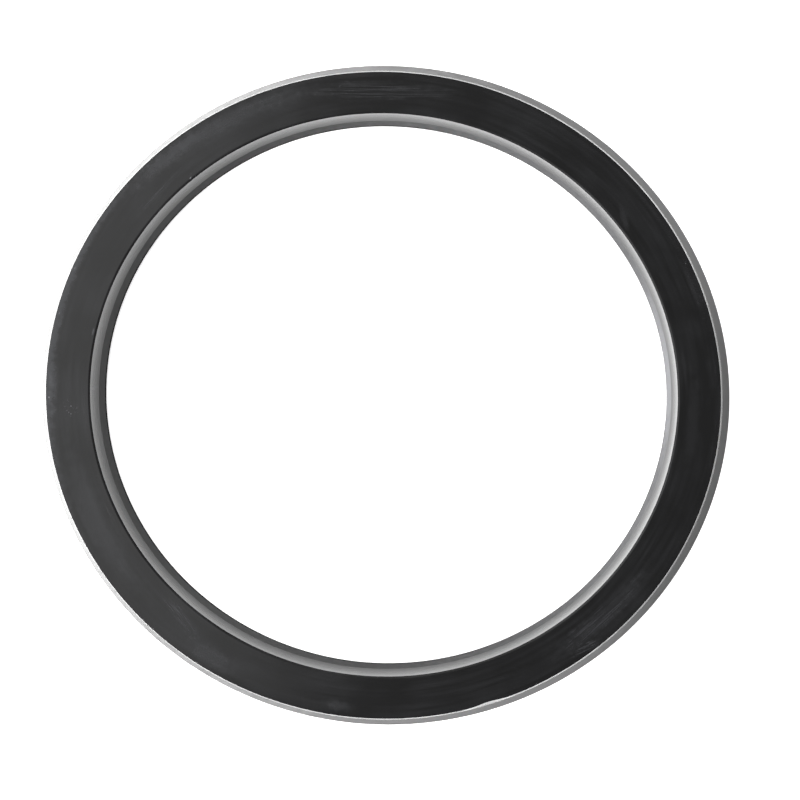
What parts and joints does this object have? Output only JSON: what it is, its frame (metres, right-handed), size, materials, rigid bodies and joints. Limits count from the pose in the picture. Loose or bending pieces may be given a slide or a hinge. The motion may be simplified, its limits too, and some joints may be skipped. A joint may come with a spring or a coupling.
{
  "type": "piston seal",
  "caption": "Moulded rubber ring seal for a piston, with a flat heel, a long bevel inside and two flared sealing lips round an open cup.",
  "frame": {"origin": "centre of the ring in the plane of the lip ends, which it rests on", "axes": "+Z along the ring's axis, from the lip ends towards the flat heel"},
  "size_m": [0.102, 0.102, 0.009],
  "materials": {
    "seal_rubber": "smooth black moulded rubber with a dull sheen and light powder smears"
  },
  "bodies": {
    "root": {"seal_ring": "seal_rubber"}
  },
  "joints": []
}
